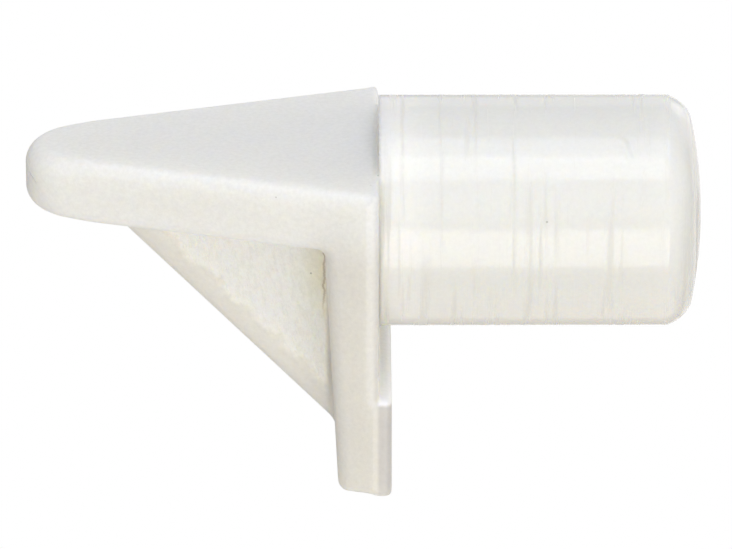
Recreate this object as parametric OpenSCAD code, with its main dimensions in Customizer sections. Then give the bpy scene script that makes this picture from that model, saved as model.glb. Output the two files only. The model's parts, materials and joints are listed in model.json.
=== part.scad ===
// Shelf support pin for a quarter-inch hole: one moulded piece of white plastic.
// The origin is on the pin's axis where it leaves the plate's back face.
// +X runs along the pin into the cabinet side, the arm reaches out along -X, and +Z is up.

/* [Pin] */
// Diameter of the pin
pin_d = 6.3; // [4.8:0.1:6.8]
// Length of the pin from the plate's back face to the middle of its end
pin_len = 8.8; // [6:0.1:14]
// Radius of the rounded rim at the pin's end
pin_rim_r = 1; // [0.8:0.1:1.2]
// Radius of the shallow dome on the pin's end
pin_dome_r = 12; // [8:1:40]

/* [Arm] */
// Reach of the arm from the plate's back face to its tip
arm_reach = 9.61; // [8:0.01:14]
// Height of the shelf surface above the pin's axis
arm_top = 2.1; // [1.8:0.05:3]
// Thickness of the arm
arm_t = 1.85; // [1.4:0.05:2.2]
// Radius of the arm's round tip, seen from above
tip_r = 1.43; // [1:0.01:2.2]

/* [Plate] */
// Width across the back of the plate
plate_w = 7.76; // [6.8:0.02:10]
// Depth of the plate's lower end below the pin's axis
plate_drop = 6.9; // [6.4:0.1:9]
// Thickness of the plate at the height of the pin's axis
plate_t = 1.45; // [1.3:0.05:2.2]
// Lean of the plate's front face, in degrees, which thins the plate downwards
front_lean = 2.9; // [0:0.1:3.5]
// How far the foot at the plate's lower end stands out behind the plate
foot_out = 0.35; // [0.2:0.05:0.6]
// Height of the foot
foot_h = 2.9; // [1.5:0.05:3.4]

/* [Web] */
// Thickness of the triangular web under the arm
web_t = 1.4; // [1:0.1:1.8]
// Distance from the arm's tip to the start of the web's sloping edge
web_setback = 2.1; // [1.8:0.05:3.5]
// Slope of the web's free edge in degrees
web_slope = 46; // [43:0.5:47]

/* [Edges] */
// Radius of the rounded long edges of the arm and plate
edge_r = 0.37; // [0.2:0.01:0.4]
// Radius of the fuller edges round the arm's tip
tip_edge_r = 0.6; // [0.4:0.05:0.7]
// Radius of the tighter edges round the back faces
back_r = 0.18; // [0.05:0.01:0.18]

/* [Hidden] */

pin_r = pin_d / 2;
// A core sunk into the plate ties the pin to it. It is slim enough to stay below the arm's top.
root_r = 1.8;
root_depth = 0.6;
// The rim's arc starts a little outside the cylinder, which leaves a fine line round the pin.
rim_overlap = 0.035;
rim_centre_r = pin_r + rim_overlap - pin_rim_r;
rim_centre_x = pin_len - rim_centre_r^2 / (2 * pin_dome_r) - pin_rim_r;

arm_bottom = arm_top - arm_t;
tip_x = tip_r - arm_reach;
// The edges grow fuller over this distance in front of the tip's arc.
tip_blend = 0.9;
half_w = plate_w / 2;
foot_top = foot_h - plate_drop;

// Seen from above, each side runs straight from the back corner to touch the tip's arc.
side_angle = atan(half_w / -tip_x) - asin(tip_r / norm([tip_x, half_w]));
function side_y(x) = half_w + x * tan(side_angle);
// The centre of a ball of radius edge_r that touches the side
function ball_y(x) = side_y(x) - edge_r / cos(side_angle);

function front_x(z) = -plate_t - z * tan(front_lean);

// The web's free edge is a full round, swept along a line from the arm down to the plate.
web_r = web_t / 2;
web_start_x = web_setback - arm_reach;
edge_line_top = arm_bottom + web_r / cos(web_slope);
function web_line_z(x) = edge_line_top - (x - web_start_x) * tan(web_slope);
function web_line_x(z) = web_start_x + (edge_line_top - z) / tan(web_slope);
web_top = (arm_top + arm_bottom) / 2;
// The web ends inside the plate, short of its back face.
web_end_x = -0.4;

curve_fn = 96;
hull_fn = 32;

// Two balls, one at each side, round every edge that meets there.
module corner_balls(x, z) {
    for (side = [-1, 1])
        translate([x, side * ball_y(x), z]) sphere(r = edge_r, $fn = hull_fn);
}

// Two rings, one at each side, keep the back face flat and give its rim the tighter radius.
module back_rings(back_x, z) {
    x = back_x - back_r;
    for (side = [-1, 1])
        translate([x, side * ball_y(min(back_x, 0) - back_r), z])
            rotate([0, 90, 0]) rotate_extrude($fn = hull_fn)
                translate([edge_r - back_r, 0]) circle(r = back_r, $fn = hull_fn);
}

module pin_half_profile() {
    translate([0, -root_depth]) square([root_r, 2 * root_depth]);
    intersection() {
        square([pin_r, pin_len]);
        union() {
            square([rim_centre_r, pin_len]);
            square([pin_d, rim_centre_x]);
            translate([rim_centre_r, rim_centre_x]) circle(r = pin_rim_r, $fn = curve_fn);
        }
        translate([0, pin_len - pin_dome_r]) circle(r = pin_dome_r, $fn = 4 * curve_fn);
    }
}

module pin() {
    rotate([0, 90, 0]) rotate_extrude($fn = curve_fn) pin_half_profile();
}

module arm() {
    hull() {
        for (z = [arm_top - tip_edge_r, arm_bottom + tip_edge_r])
            translate([tip_x, 0, z]) rotate_extrude($fn = 2 * hull_fn)
                translate([tip_r - tip_edge_r, 0]) circle(r = tip_edge_r, $fn = hull_fn);
        for (z = [arm_top - edge_r, arm_bottom + edge_r]) {
            corner_balls(tip_x + tip_blend, z);
            back_rings(0, z);
        }
    }
}

module plate() {
    hull()
        for (z = [arm_top - edge_r, edge_r - plate_drop]) {
            back_rings(0, z);
            corner_balls(front_x(z) + edge_r, z);
        }
}

module foot() {
    hull()
        for (z = [foot_top - edge_r, edge_r - plate_drop]) {
            back_rings(foot_out, z);
            corner_balls(-back_r, z);
        }
}

module web() {
    intersection() {
        hull()
            for (corner = [
                [web_line_x(web_top), web_top],
                [web_end_x, web_line_z(web_end_x)],
                [web_end_x, web_top]
            ])
                translate([corner[0], 0, corner[1]]) sphere(r = web_r, $fn = hull_fn);
        translate([-arm_reach, -web_t, -plate_drop])
            cube([arm_reach + web_end_x, 2 * web_t, plate_drop + arm_top]);
    }
}

module support_pin() {
    color("#efece2") union() {
        pin();
        arm();
        plate();
        foot();
        web();
    }
}

support_pin();
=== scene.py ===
"""Looks of a shelf support pin, moulded in one piece from milky white plastic.

The form is worked out in millimetres as a distance to the surface, below zero inside the
plastic. The bracket, the web and the pin each have a function, and rounding and fillets come
from the way that they are joined. +X runs along the pin, the arm reaches out along -X, +Z is up.
"""
import json
import math

import bpy
import numpy as np
import openvdb
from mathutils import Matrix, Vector


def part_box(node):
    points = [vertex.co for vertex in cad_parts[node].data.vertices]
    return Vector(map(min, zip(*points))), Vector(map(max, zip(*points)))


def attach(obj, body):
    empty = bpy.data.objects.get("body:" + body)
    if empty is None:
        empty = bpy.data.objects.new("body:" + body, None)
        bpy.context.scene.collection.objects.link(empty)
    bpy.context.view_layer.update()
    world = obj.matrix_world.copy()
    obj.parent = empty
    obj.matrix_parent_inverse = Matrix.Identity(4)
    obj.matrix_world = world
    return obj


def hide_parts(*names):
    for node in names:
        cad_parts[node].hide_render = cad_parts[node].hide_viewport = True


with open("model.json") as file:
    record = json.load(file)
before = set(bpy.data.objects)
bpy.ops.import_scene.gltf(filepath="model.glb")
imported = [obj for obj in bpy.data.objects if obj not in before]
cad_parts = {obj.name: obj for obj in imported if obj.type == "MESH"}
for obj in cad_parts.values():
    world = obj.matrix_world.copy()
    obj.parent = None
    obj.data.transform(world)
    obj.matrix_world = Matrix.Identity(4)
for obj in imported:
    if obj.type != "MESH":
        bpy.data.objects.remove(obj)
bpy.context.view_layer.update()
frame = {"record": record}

MM = 0.001
MOUNTS = {mount["name"]: mount for mount in frame["record"]["mounts"]}
LOW, HIGH = (np.array(corner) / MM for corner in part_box("support_pin"))

# Pin
PIN_RADIUS = MOUNTS["pin"]["dims"]["r_mm"]
PIN_END = HIGH[0]
RIM_RADIUS = 1.0
RIM_OVERLAP = 0.035
DOME_RADIUS = 12.0
RIM_CENTRE = PIN_RADIUS + RIM_OVERLAP - RIM_RADIUS
RIM_X = PIN_END - RIM_CENTRE ** 2 / (2 * DOME_RADIUS) - RIM_RADIUS
CORE_RADIUS = 1.8
CORE_REACH = 0.6

# Arm, seen from above as two straight sides that touch the tip's arc
ARM_TOP = MOUNTS["shelf_seat"]["pos_m"][2] / MM
ARM_THICKNESS = 1.85
ARM_BOTTOM = ARM_TOP - ARM_THICKNESS
TIP_RADIUS = 1.43
TIP_X = LOW[0] + TIP_RADIUS
HALF_WIDTH = 3.88
SIDE_ANGLE = math.atan(HALF_WIDTH / -TIP_X) - math.asin(TIP_RADIUS / math.hypot(TIP_X, HALF_WIDTH))

# Plate and the foot behind its lower end
PLATE_THICKNESS = 1.45
PLATE_END = LOW[2]
FRONT_LEAN = math.radians(2.9)
FOOT_OUT = MOUNTS["side_seat"]["pos_m"][0] / MM
FOOT_TOP = PLATE_END + 2.9

# Web under the arm, which stops inside the arm and the plate
WEB_RADIUS = 0.7
WEB_SLOPE = math.radians(46)
WEB_START_X = LOW[0] + 2.1
WEB_INSET = 0.6

# Rounding where surfaces meet
EDGE_RADIUS = 0.37
TIP_EDGE_RADIUS = 0.6
CORNER_RADIUS = 0.27
BACK_RADIUS = 0.18
ROOT_FILLET = 0.22
PIN_FILLET = 0.12
FOOT_FILLET = 0.05

# Where along X or Z one radius turns into another
BACK_TURN = (-0.3, 0.05)
TIP_TURN = (-7.6, -9.2)
CORNER_TURN = (-5.5, -6.3)

# Meshing
GRID_STEP = 0.09
STEPS_TO_SURFACE = 3
LEAST_SLOPE = 0.2


# Ways to join solids given by their distances


def overlap(a, b, radius):
    """What two solids share, with the edge between their surfaces rounded."""
    corner = np.hypot(np.maximum(a + radius, 0), np.maximum(b + radius, 0))
    return corner + np.minimum(np.maximum(a, b) + radius, 0) - radius


def join(a, b, radius):
    """Both solids together, with a fillet in the corner between them."""
    corner = np.hypot(np.maximum(radius - a, 0), np.maximum(radius - b, 0))
    return np.maximum(np.minimum(a, b), radius) - corner


def fade(value, start, end):
    """0 before start, 1 past end and smooth between them."""
    t = np.clip((value - start) / (end - start), 0, 1)
    return t * t * (3 - 2 * t)


# The parts of the form


def outline_from_above(x, y):
    """The tapered outline that the arm and the plate share."""
    half_width = HALF_WIDTH + np.minimum(x, -BACK_RADIUS) * math.tan(SIDE_ANGLE)
    side = (np.abs(y) - half_width) * math.cos(SIDE_ANGLE)
    past_tip = (x - TIP_X) * math.cos(SIDE_ANGLE) + np.abs(y) * math.sin(SIDE_ANGLE) < 0
    return np.where(past_tip, np.hypot(x - TIP_X, y) - TIP_RADIUS, side)


def bracket(x, y, z):
    """The arm, the plate and the foot behind its lower end."""
    foot = overlap(z - FOOT_TOP, x - FOOT_OUT, BACK_RADIUS)
    ends = np.maximum(z - ARM_TOP, PLATE_END - z)
    body = overlap(ends, join(x, foot, FOOT_FILLET), BACK_RADIUS)
    plate_front = -(x + PLATE_THICKNESS + z * math.tan(FRONT_LEAN)) * math.cos(FRONT_LEAN)
    under_arm = join(ARM_BOTTOM - z, plate_front, ROOT_FILLET)
    front_radius = EDGE_RADIUS + (CORNER_RADIUS - EDGE_RADIUS) * fade(z, *CORNER_TURN)
    body = overlap(body, under_arm, front_radius)
    side_radius = EDGE_RADIUS + (BACK_RADIUS - EDGE_RADIUS) * fade(x, *BACK_TURN)
    side_radius += (TIP_EDGE_RADIUS - EDGE_RADIUS) * fade(x, *TIP_TURN)
    return overlap(body, outline_from_above(x, y), side_radius)


def web(x, y, z):
    """The triangular web under the arm, whose sloping edge is a full round."""
    spine_top = ARM_BOTTOM + WEB_RADIUS / math.cos(WEB_SLOPE)
    below_spine = (spine_top - z) * math.cos(WEB_SLOPE) - (x - WEB_START_X) * math.sin(WEB_SLOPE)
    rounded = np.hypot(np.maximum(below_spine, 0), y) - WEB_RADIUS
    return np.maximum(rounded, np.maximum(z - ARM_TOP + WEB_INSET, x + WEB_INSET))


def pin(x, y, z):
    """The pin, with a faint line where its rim starts, a dome on its end and a core in the plate."""
    from_axis = np.hypot(y, z)
    dome = np.hypot(x - PIN_END + DOME_RADIUS, from_axis) - DOME_RADIUS
    rim = np.hypot(np.maximum(x - RIM_X, 0), from_axis - RIM_CENTRE) - RIM_RADIUS
    end = np.maximum(np.where(from_axis > RIM_CENTRE, rim, dome), dome)
    whole = np.maximum(np.maximum(from_axis - PIN_RADIUS, end), -x)
    core = np.maximum(from_axis - CORE_RADIUS, np.abs(x) - CORE_REACH)
    return np.minimum(whole, core)


def surface(x, y, z):
    """Distance from a point to the surface of the whole pin."""
    return join(join(bracket(x, y, z), web(x, y, z), ROOT_FILLET), pin(x, y, z), PIN_FILLET)


def slope(points, reach=0.004):
    """The direction in which the distance grows, which points out of the plastic."""
    grown = np.empty_like(points)
    for axis in range(3):
        step = np.zeros(3)
        step[axis] = reach
        grown[:, axis] = surface(*(points + step).T) - surface(*(points - step).T)
    return grown / (2 * reach)


def moulded_piece():
    """Meshes the surface and gives it normals from the form itself."""
    margin = 4 * GRID_STEP
    axes = [np.arange(LOW[i] - margin, HIGH[i] + margin, GRID_STEP) for i in range(3)]
    distance = surface(*np.meshgrid(*axes, indexing="ij"))
    grid = openvdb.FloatGrid(1.0)
    grid.copyFromArray(np.clip(distance, -1, 1).astype(np.float32))
    corners, quads = grid.convertToQuads(0)[:2]
    points = corners * GRID_STEP + [axis[0] for axis in axes]
    for _ in range(STEPS_TO_SURFACE):
        out = slope(points)
        points -= out * (surface(*points.T) / np.maximum((out ** 2).sum(1), LEAST_SLOPE))[:, None]
    points = np.clip(points, LOW, HIGH)
    out = slope(points)
    out /= np.maximum(np.linalg.norm(out, axis=1), 1e-6)[:, None]
    mesh = bpy.data.meshes.new("moulded_pin")
    mesh.from_pydata(points * MM, [], quads.tolist())
    mesh.normals_split_custom_set_from_vertices(out.tolist())
    piece = bpy.data.objects.new("moulded_pin", mesh)
    bpy.context.scene.collection.objects.link(piece)
    return piece


# Materials

PLAIN, PLAIN_LIGHT = (0.747, 0.754, 0.744, 1), (0.787, 0.794, 0.784, 1)
# Painted shade: the plate's side below the arm is darker and warmer.
PLATE_SHADE_COLOUR = (0.685, 0.676, 0.643, 1)
PIN_COLOUR = (0.785, 0.792, 0.773, 1)
# Painted light: the pin's lower side is lighter and warmer, standing in for warm light from below.
PIN_UNDERSIDE_LIGHT = (0.81, 0.80, 0.765, 1)
# Painted light: the pin is lighter next to the plate, cancelling the bracket's shade there.
PIN_ROOT_LIGHT = (0.855, 0.855, 0.83, 1)
# Painted light: the ledge under the pin is near white to undo the pin's shade over it.
LEDGE_LIGHT_COLOUR = (0.94, 0.935, 0.91, 1)
# Painted shade: the foot's side strips behind the plate are darker.
FOOT_SIDE_SHADE = (0.54, 0.532, 0.525, 1)
# Painted shade: the web, seen mostly on its rounded lower edge, is darker and warmer.
WEB_EDGE_SHADE = (0.735, 0.725, 0.69, 1)
# The web's real frosted finish, made whiter than the rest as painted light shining through the thin web.
FROST_AND_PAINTED_LIGHT = (1.0, 0.98, 0.92, 1)
# Painted shade: a khaki patch on the frosted web in the corner by the plate.
FROST_SHADE_BY_PLATE = (0.88, 0.85, 0.74, 1)
RING_COLOUR = (0.70, 0.70, 0.67, 1)
MOTTLE_DARK, MOTTLE_LIGHT = (0.9, 0.9, 0.9, 1), (1.11, 1.11, 1.11, 1)
SPECK_COLOUR = (0.42, 0.41, 0.38, 1)
# Painted shade: the dark tan line in the crease where the web meets the plate.
CREASE_SHADE_COLOUR = (0.56, 0.50, 0.38, 1)

# Depth of the relief in millimetres
GRAIN_DEPTH = 0.0012
FROST_DEPTH = 0.12
RING_DEPTH = 0.006
WAVE_DEPTH = 0.012
MARK_DEPTH = 0.03


class Field:
    """A number that varies over the surface. Arithmetic on it adds Math nodes."""

    def __init__(self, finish, made, output=0):
        self.finish, self.made, self.name = finish, made, output

    @property
    def socket(self):
        return self.made.outputs[self.name]

    def output(self, name):
        """Another output of the same node."""
        return Field(self.finish, self.made, name)

    def math(self, operation, *values):
        sockets = dict(enumerate(values))
        return self.finish.node("ShaderNodeMath", sockets, operation=operation)

    def __add__(self, other):
        return self.math("ADD", self, other)

    def __sub__(self, other):
        return self.math("SUBTRACT", self, other)

    def __mul__(self, other):
        return self.math("MULTIPLY", self, other)

    def __rsub__(self, other):
        return self.math("SUBTRACT", other, self)

    def __abs__(self):
        return self.math("ABSOLUTE", self)

    __radd__ = __add__
    __rmul__ = __mul__


class Finish:
    """A material in the making."""

    def __init__(self, name):
        self.material = bpy.data.materials.new(name)
        self.material.use_nodes = True
        self.tree = self.material.node_tree
        self.tree.nodes.clear()

    def node(self, kind, sockets, output=0, **settings):
        """Adds a node: its settings first, then the values or links of its sockets."""
        made = self.tree.nodes.new(kind)
        for name, value in settings.items():
            setattr(made, name, value)
        for name, value in sockets.items():
            if isinstance(value, Field):
                self.tree.links.new(value.socket, made.inputs[name])
            else:
                made.inputs[name].default_value = value
        return Field(self, made, output)

    def fade(self, value, start, end):
        """0 where the value is before start, 1 past end and smooth between them."""
        sockets = {"Value": value, "From Min": start, "From Max": end}
        return self.node("ShaderNodeMapRange", sockets, interpolation_type="SMOOTHSTEP")

    def noise(self, place, scale, detail=2, roughness=0.5):
        """Soft random values from 0 to 1; scale is in lumps to the millimetre."""
        sockets = {"Vector": place, "Scale": scale, "Detail": detail, "Roughness": roughness}
        return self.node("ShaderNodeTexNoise", sockets)

    def stretch(self, x, y, z, *factors):
        """Coordinates scaled along each axis, which draws a pattern out along the small ones."""
        scaled = {i: value * factor for i, (value, factor) in enumerate(zip((x, y, z), factors))}
        return self.node("ShaderNodeCombineXYZ", scaled)

    def mix(self, amount, first, second, **settings):
        """Turns from the first colour to the second."""
        sockets = {0: amount, 6: first, 7: second}
        return self.node("ShaderNodeMix", sockets, output=2, data_type="RGBA", **settings)


def patterns(finish, place, x, y, z):
    """Uneven patterns, of which the streaks run down the web and the rings round the pin."""
    down_web = finish.stretch(x + 0.2 * z, y, z, 1, 1, 0.3)
    round_pin = finish.stretch(x, y, z, 1, 0.04, 0.04)
    along_pin = finish.stretch(x, y, z, 0.35, 1, 1)
    return {
        "streaks": finish.noise(down_web, 6, detail=5, roughness=0.75),
        "rings": finish.noise(round_pin, 5, detail=3, roughness=0.65),
        "waves": finish.noise(along_pin, 1.1, detail=1),
        "clouds": finish.noise(place, 0.5, detail=4),
        "mottle": finish.noise(place, 8, detail=3, roughness=0.7),
        "grain": finish.noise(place, 14, detail=3),
    }


def skins_and_painted_light(finish, place, x, y, z):
    """How much of each kind of skin, and of each patch of painted shade or light, there is at a point,
    from 0 to 1.
    """
    pin_skin = finish.fade(x, 0.02, 0.1) * finish.fade(z, -3.6, -3.3)
    behind_plate = finish.fade(x, -0.08, 0.04) * finish.fade(z, -3.25, -3.35)
    under_ledge = finish.fade(z, FOOT_TOP - 0.05, FOOT_TOP - 0.18)
    web_skin = finish.fade(abs(y), 0.8, 0.74) * finish.fade(x, -1.35, -1.5)
    web_skin = web_skin * finish.fade(z, ARM_BOTTOM, ARM_BOTTOM - 0.15)
    into_web = (x - WEB_START_X) * math.sin(WEB_SLOPE) + (z - ARM_BOTTOM) * math.cos(WEB_SLOPE)
    wander = finish.noise(place, 1.5, detail=3) - 0.5
    frost = web_skin * finish.fade(into_web + wander * 0.8, 0.6, 1.0)
    return {
        # Painted shade on the plate's side, darker towards the bottom.
        "low_plate": finish.fade(z, 1.3, -0.3) * finish.fade(x, -2.2, -1.5) * (1 - pin_skin),
        "pin": pin_skin,
        # Painted light on the pin's lower side.
        "low_pin": finish.fade(z, -1.2, -2.6) * pin_skin,
        # Painted light on the pin next to the plate.
        "pin_root": pin_skin * finish.fade(x, 1.7, 0.1),
        # Painted light on the ledge under the pin.
        "ledge": behind_plate * (1 - under_ledge),
        # Painted shade on the foot's side strips.
        "foot_side": behind_plate * under_ledge * finish.fade(abs(y), 3.45, 3.7),
        "web": web_skin,
        "frost": frost,
        # Painted shade on the web in the corner by the plate.
        "frost_by_plate": frost * finish.fade(x, -2.4, -1.6) * finish.fade(z, -3.4, -1.6),
    }


def plastic_colour(finish, skin, pattern, lines):
    """The plain plastic with each tint laid over it in turn, then the mottle over all. Several tints are
    painted: shade on the plate, the foot's sides, the web's edge and the web by the plate; light on the
    pin's underside, its root and the ledge; and part of the frost's whiteness.
    """
    streaks = finish.fade(pattern["streaks"], 0.36, 0.6)
    tints = [
        (skin["low_plate"], PLATE_SHADE_COLOUR),
        (skin["pin"], PIN_COLOUR),
        (skin["low_pin"], PIN_UNDERSIDE_LIGHT),
        (skin["pin_root"], PIN_ROOT_LIGHT),
        (skin["ledge"], LEDGE_LIGHT_COLOUR),
        (skin["foot_side"], FOOT_SIDE_SHADE),
        (skin["web"], WEB_EDGE_SHADE),
        (skin["frost"] * (0.7 + 0.3 * streaks), FROST_AND_PAINTED_LIGHT),
        (skin["frost_by_plate"] * 0.6, FROST_SHADE_BY_PLATE),
        (lines * 0.5, RING_COLOUR),
    ]
    colour = finish.mix(pattern["clouds"], PLAIN, PLAIN_LIGHT)
    for amount, tint in tints:
        colour = finish.mix(amount, colour, tint)
    mottle = 0.5 + (pattern["mottle"] - 0.5) * (1 - 0.5 * skin["pin"])
    mottle = finish.mix(mottle, MOTTLE_DARK, MOTTLE_LIGHT)
    return finish.mix(1.0, colour, mottle, blend_type="MULTIPLY", clamp_result=True)


def plastic_relief(finish, skin, pattern):
    """Height of the fine relief: grain, the frosted web's roughness and the pin's rings."""
    height = pattern["grain"] * GRAIN_DEPTH * (1 - 0.7 * skin["pin"])
    height = height + skin["frost"] * pattern["streaks"] * FROST_DEPTH
    on_pin = pattern["rings"] * RING_DEPTH + pattern["waves"] * WAVE_DEPTH
    return height + skin["pin"] * on_pin


def milky_plastic():
    """Milky white plastic: glossy on the pin, satin on the arm and plate, frosted on the web."""
    finish = Finish("milky_plastic")
    place = finish.node("ShaderNodeTexCoord", {}, output="Object")
    place = finish.node("ShaderNodeVectorMath", {0: place, "Scale": 1 / MM}, operation="SCALE")
    x = finish.node("ShaderNodeSeparateXYZ", {0: place}, output="X")
    y, z = x.output("Y"), x.output("Z")

    pattern = patterns(finish, place, x, y, z)
    skin = skins_and_painted_light(finish, place, x, y, z)
    lines = finish.fade(pattern["rings"], 0.56, 0.64) * skin["pin"]

    colour = plastic_colour(finish, skin, pattern, lines)
    colour = finish.mix(specks(finish, place), colour, SPECK_COLOUR)
    # Painted shade along the crease where the web meets the plate.
    colour = finish.mix(root_crease_shade(finish, x, y, z), colour, CREASE_SHADE_COLOUR)

    height = plastic_relief(finish, skin, pattern)
    height = height + flow_mark(finish, x, y, z) * MARK_DEPTH + gate_mark(finish, x, y, z) * MARK_DEPTH
    bump = finish.node("ShaderNodeBump", {"Height": height, "Distance": MM, "Strength": 1.0})

    roughness = 0.30 - 0.17 * skin["pin"] + 0.3 * skin["frost"] + 0.04 * pattern["clouds"] + 0.25 * lines
    shader = finish.node("ShaderNodeBsdfPrincipled", {
        "Base Color": colour,
        "Roughness": roughness,
        "IOR": 1.5,
        "Subsurface Weight": 1.0,
        "Subsurface Radius": (1.2, 1.05, 0.75),
        "Subsurface Scale": 1.4 * MM,
        "Normal": bump,
    })
    finish.node("ShaderNodeOutputMaterial", {"Surface": shader})
    return finish.material


def specks(finish, place):
    """A few tiny dark specks caught in the surface."""
    cells = finish.node("ShaderNodeTexVoronoi", {"Vector": place, "Scale": 1.1})
    chance = finish.node("ShaderNodeSeparateColor", {0: cells.output("Color")}, output="Red")
    return finish.fade(cells, 0.045, 0.02) * finish.fade(chance, 0.66, 0.68) * 0.7


def root_crease_shade(finish, x, y, z):
    """Painted shade: the uneven, fine dark line in the crease where the frosted web meets the plate."""
    wiggle = finish.noise(finish.stretch(x, y, z, 0, 0, 1), 2.2, detail=4, roughness=0.7) - 0.5
    off_line = abs(x + PLATE_THICKNESS + 0.04 + wiggle * 0.3)
    along = finish.fade(z, -3.3, -1.8) * finish.fade(z, 0.1, -0.2)
    return finish.fade(off_line, 0.045, 0.01) * along * finish.fade(abs(y), 0.95, 0.85) * 0.7


def flow_mark(finish, x, y, z):
    """A small ripple in the pin's upper side near its rim."""
    across = x - 6.7 + 0.5 * (z - 2.6)
    ridge = finish.fade(abs(across), 0.16, 0.0)
    return ridge * finish.fade(abs(z - 2.6), 0.25, 0.1) * finish.fade(y, -1.2, -1.5)


def gate_mark(finish, x, y, z):
    """The trimmed trace of the moulding gate on the arm's tip."""
    arc = abs(z - 1.42 - 0.5 * (y + 0.6))
    return finish.fade(arc, 0.07, 0.0) * finish.fade(abs(y + 0.55), 0.4, 0.25) * finish.fade(x, -9.0, -9.2)


# Studio

COOL = (0.91, 0.965, 1.13)
WARM = (1.03, 1.0, 0.955)
WALL_STRENGTH = 0.46
FLOOR_Z = -0.45


def floor():
    """A plain white floor far below, which only the camera sees."""
    finish = Finish("white_floor")
    glow = finish.node("ShaderNodeEmission", {"Color": (1, 1, 1, 1), "Strength": 1.0})
    finish.node("ShaderNodeOutputMaterial", {"Surface": glow})
    mesh = bpy.data.meshes.new("floor")
    corners = [(-3, -3), (3, -3), (3, 3), (-3, 3)]
    mesh.from_pydata([(x, y, FLOOR_Z) for x, y in corners], [], [(0, 1, 2, 3)])
    mesh.materials.append(finish.material)
    made = bpy.data.objects.new("floor", mesh)
    bpy.context.scene.collection.objects.link(made)
    made.visible_diffuse = made.visible_glossy = made.visible_transmission = False
    made.visible_shadow = False


def direction(azimuth, elevation):
    """Azimuth 0 is towards the camera's side, -Y, and 90 is towards +X."""
    a, e = math.radians(azimuth), math.radians(elevation)
    return Vector((math.sin(a) * math.cos(e), -math.cos(a) * math.cos(e), math.sin(e)))


def soft_box(name, azimuth, elevation, width, height, strength, tint=(1, 1, 1), distance=0.5):
    """A flat lamp that faces the pin; its strength is how bright it looks."""
    lamp = bpy.data.lights.new(name, "AREA")
    lamp.shape = "RECTANGLE"
    lamp.size, lamp.size_y = width, height
    lamp.energy = strength * math.pi * width * height
    lamp.color = tint
    made = bpy.data.objects.new(name, lamp)
    made.location = direction(azimuth, elevation) * distance
    made.rotation_euler = (-made.location).to_track_quat("-Z", "Y").to_euler()
    made.visible_camera = False
    bpy.context.scene.collection.objects.link(made)


def studio():
    """Soft boxes round the pin: cooler from above, warmer from below."""
    soft_box("overhead", 0, 87, 0.5, 0.24, 1.55, COOL)
    soft_box("key", 0, 66, 0.4, 0.22, 2.4, (0.98, 0.997, 1.03))
    soft_box("front", 0, 32, 0.5, 0.3, 0.42)
    soft_box("front_low", 0, -15, 0.44, 0.36, 2.45, WARM)
    soft_box("back", 180, 14, 0.6, 0.25, 0.4)
    soft_box("back_right", 145, 5, 0.3, 0.3, 0.67)
    soft_box("back_low", 150, -25, 0.55, 0.3, 0.47)
    soft_box("right", 90, 10, 0.3, 0.3, 0.35)
    soft_box("under", 0, -89, 0.4, 0.4, 0.45, WARM, 0.4)


def room():
    """White where the camera looks past the floor, and a pale grey for the pin to reflect."""
    world = bpy.data.worlds.new("pale_room")
    world.use_nodes = True
    tree = world.node_tree
    tree.nodes.clear()
    seen = tree.nodes.new("ShaderNodeBackground")
    walls = tree.nodes.new("ShaderNodeBackground")
    walls.inputs["Color"].default_value = (*WARM, 1)
    walls.inputs["Strength"].default_value = WALL_STRENGTH
    path = tree.nodes.new("ShaderNodeLightPath")
    mix = tree.nodes.new("ShaderNodeMixShader")
    out = tree.nodes.new("ShaderNodeOutputWorld")
    seen.inputs["Color"].default_value = (1, 1, 1, 1)
    tree.links.new(path.outputs["Is Camera Ray"], mix.inputs["Fac"])
    tree.links.new(walls.outputs[0], mix.inputs[1])
    tree.links.new(seen.outputs[0], mix.inputs[2])
    tree.links.new(mix.outputs[0], out.inputs["Surface"])
    bpy.context.scene.world = world


def camera():
    """Looks slightly down on the pin from its side, with the arm on the left."""
    elevation, turn, distance, field = 25, -0.2, 0.25, 0.020
    lens = bpy.data.cameras.new("camera")
    lens.sensor_width = 36
    lens.lens = 36 * distance / field
    lens.clip_start, lens.clip_end = 0.01, 10
    made = bpy.data.objects.new("camera", lens)
    target = Vector((-0.342, -0.745, -1.597)) * MM
    made.location = target + direction(turn, elevation) * distance
    made.rotation_euler = (target - made.location).to_track_quat("-Z", "Y").to_euler()
    bpy.context.scene.collection.objects.link(made)
    bpy.context.scene.camera = made


piece = moulded_piece()
piece.data.materials.append(milky_plastic())
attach(piece, "root")
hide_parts("support_pin")

floor()
studio()
room()
camera()
bpy.context.scene.view_settings.view_transform = "Standard"
